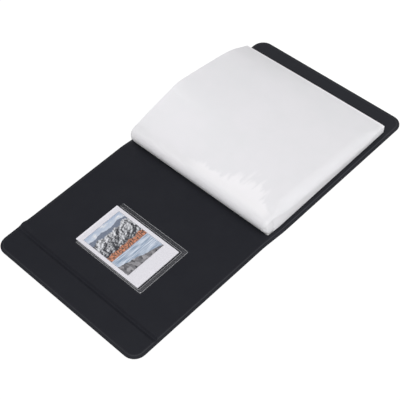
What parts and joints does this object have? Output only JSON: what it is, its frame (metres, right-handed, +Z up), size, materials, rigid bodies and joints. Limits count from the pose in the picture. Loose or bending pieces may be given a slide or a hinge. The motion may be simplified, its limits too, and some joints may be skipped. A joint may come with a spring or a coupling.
{
  "type": "photo album",
  "caption": "Open photo album with a dark padded cover, a clear print pocket inside the front, a folding fore-edge flap and a bound block of frosted pocket leaves.",
  "frame": {"origin": "on the table, under the middle of the open cover's outline", "axes": "+X from the front cover's fore-edge to the back cover's, +Y towards the album's top, +Z up"},
  "size_m": [0.3802, 0.196, 0.0374],
  "materials": {
    "cover_skin": "satin",
    "cover_lining": "satin",
    "grey_board": "matte",
    "padding_foam": "matte",
    "binding_tape": "matte",
    "clear_film": "clear gloss",
    "print_card": "satin",
    "print_picture": "gloss",
    "frosted_film": "frosted"
  },
  "bodies": {
    "back": {"back_skin": "cover_skin", "back_board": "grey_board", "back_lining": "cover_lining"},
    "spine": {"spine_skin": "cover_skin", "spine_board": "grey_board", "spine_lining": "cover_lining", "binding_tape": "binding_tape"},
    "front": {"front_skin": "cover_skin", "front_foam": "padding_foam", "front_board": "grey_board", "front_lining": "cover_lining", "pocket_film": "clear_film"},
    "flap": {"flap_skin": "cover_skin", "flap_foam": "padding_foam", "flap_board": "grey_board", "flap_lining": "cover_lining"},
    "print": {"print_card": "print_card", "print_picture": "print_picture"},
    "binding": {"binding_roll": "frosted_film", "binding_core": "frosted_film"},
    "leaf_01": {"leaf_01": "frosted_film"},
    "leaf_02": {"leaf_02": "frosted_film"},
    "leaf_03": {"leaf_03": "frosted_film"},
    "leaf_04": {"leaf_04": "frosted_film"},
    "leaf_05": {"leaf_05": "frosted_film"},
    "leaf_06": {"leaf_06": "frosted_film"},
    "leaf_07": {"leaf_07": "frosted_film"},
    "leaf_08": {"leaf_08": "frosted_film"},
    "leaf_09": {"leaf_09": "frosted_film"},
    "leaf_10": {"leaf_10": "frosted_film"},
    "leaf_11": {"leaf_11": "frosted_film"},
    "leaf_12": {"leaf_12": "frosted_film"}
  },
  "joints": [
    {"name": "spine_hinge", "type": "hinge", "parent": "back", "child": "spine", "pos_m": [0.00606, 0, 0.003], "axis": [0, 1, 0], "range_deg": [0, 83.4]},
    {"name": "front_hinge", "type": "hinge", "parent": "spine", "child": "front", "pos_m": [-0.02196, 0, 0.0062], "axis": [0, 1, 0], "range_deg": [0, 87]},
    {"name": "flap_fold", "type": "hinge", "parent": "front", "child": "flap", "pos_m": [-0.16096, 0, 0.0053], "axis": [0, 1, 0], "range_deg": [0, 60]},
    {"name": "print_slide", "type": "slide", "parent": "front", "child": "print", "axis": [0, 1, 0], "range_m": [0, 0.095]},
    {"name": "binding_roll_hinge", "type": "hinge", "parent": "spine", "child": "binding", "pos_m": [-0.00434, 0, 0.01445], "axis": [0, -1, 0], "range_deg": [0, 83.4]},
    {"name": "leaf_01_turn", "type": "hinge", "parent": "binding", "child": "leaf_01", "pos_m": [-0.00194, 0, 0.02405], "axis": [0, 1, 0], "range_deg": [-160, 0]},
    {"name": "leaf_02_turn", "type": "hinge", "parent": "binding", "child": "leaf_02", "pos_m": [-0.00194, 0, 0.02405], "axis": [0, 1, 0], "range_deg": [-146.68, 0]},
    {"name": "leaf_03_turn", "type": "hinge", "parent": "binding", "child": "leaf_03", "pos_m": [-0.00194, 0, 0.02405], "axis": [0, 1, 0], "range_deg": [-133.34, 0]},
    {"name": "leaf_04_turn", "type": "hinge", "parent": "binding", "child": "leaf_04", "pos_m": [-0.00194, 0, 0.02405], "axis": [0, 1, 0], "range_deg": [-120.01, 0]},
    {"name": "leaf_05_turn", "type": "hinge", "parent": "binding", "child": "leaf_05", "pos_m": [-0.00194, 0, 0.02405], "axis": [0, 1, 0], "range_deg": [-106.68, 0]},
    {"name": "leaf_06_turn", "type": "hinge", "parent": "binding", "child": "leaf_06", "pos_m": [-0.00194, 0, 0.02405], "axis": [0, 1, 0], "range_deg": [-93.34, 0]},
    {"name": "leaf_07_turn", "type": "hinge", "parent": "binding", "child": "leaf_07", "pos_m": [-0.00194, 0, 0.02405], "axis": [0, 1, 0], "range_deg": [-80.01, 0]},
    {"name": "leaf_08_turn", "type": "hinge", "parent": "binding", "child": "leaf_08", "pos_m": [-0.00194, 0, 0.02405], "axis": [0, 1, 0], "range_deg": [-66.68, 0]},
    {"name": "leaf_09_turn", "type": "hinge", "parent": "binding", "child": "leaf_09", "pos_m": [-0.00194, 0, 0.02405], "axis": [0, 1, 0], "range_deg": [-53.34, 0]},
    {"name": "leaf_10_turn", "type": "hinge", "parent": "binding", "child": "leaf_10", "pos_m": [-0.00194, 0, 0.02405], "axis": [0, 1, 0], "range_deg": [-40.01, 0]},
    {"name": "leaf_11_turn", "type": "hinge", "parent": "binding", "child": "leaf_11", "pos_m": [-0.00194, 0, 0.02405], "axis": [0, 1, 0], "range_deg": [-26.68, 0]},
    {"name": "leaf_12_turn", "type": "hinge", "parent": "binding", "child": "leaf_12", "pos_m": [-0.00194, 0, 0.02405], "axis": [0, 1, 0], "range_deg": [-13.34, 0]}
  ],
  "couplings": [
    {"joint": "spine_hinge", "follows": "binding_roll_hinge", "ratio": 1},
    {"joint": "leaf_02_turn", "follows": "leaf_01_turn", "ratio": 0.9167},
    {"joint": "leaf_03_turn", "follows": "leaf_01_turn", "ratio": 0.8333},
    {"joint": "leaf_04_turn", "follows": "leaf_01_turn", "ratio": 0.75},
    {"joint": "leaf_05_turn", "follows": "leaf_01_turn", "ratio": 0.6667},
    {"joint": "leaf_06_turn", "follows": "leaf_01_turn", "ratio": 0.5833},
    {"joint": "leaf_07_turn", "follows": "leaf_01_turn", "ratio": 0.5},
    {"joint": "leaf_08_turn", "follows": "leaf_01_turn", "ratio": 0.4167},
    {"joint": "leaf_09_turn", "follows": "leaf_01_turn", "ratio": 0.3333},
    {"joint": "leaf_10_turn", "follows": "leaf_01_turn", "ratio": 0.25},
    {"joint": "leaf_11_turn", "follows": "leaf_01_turn", "ratio": 0.1667},
    {"joint": "leaf_12_turn", "follows": "leaf_01_turn", "ratio": 0.0833}
  ]
}
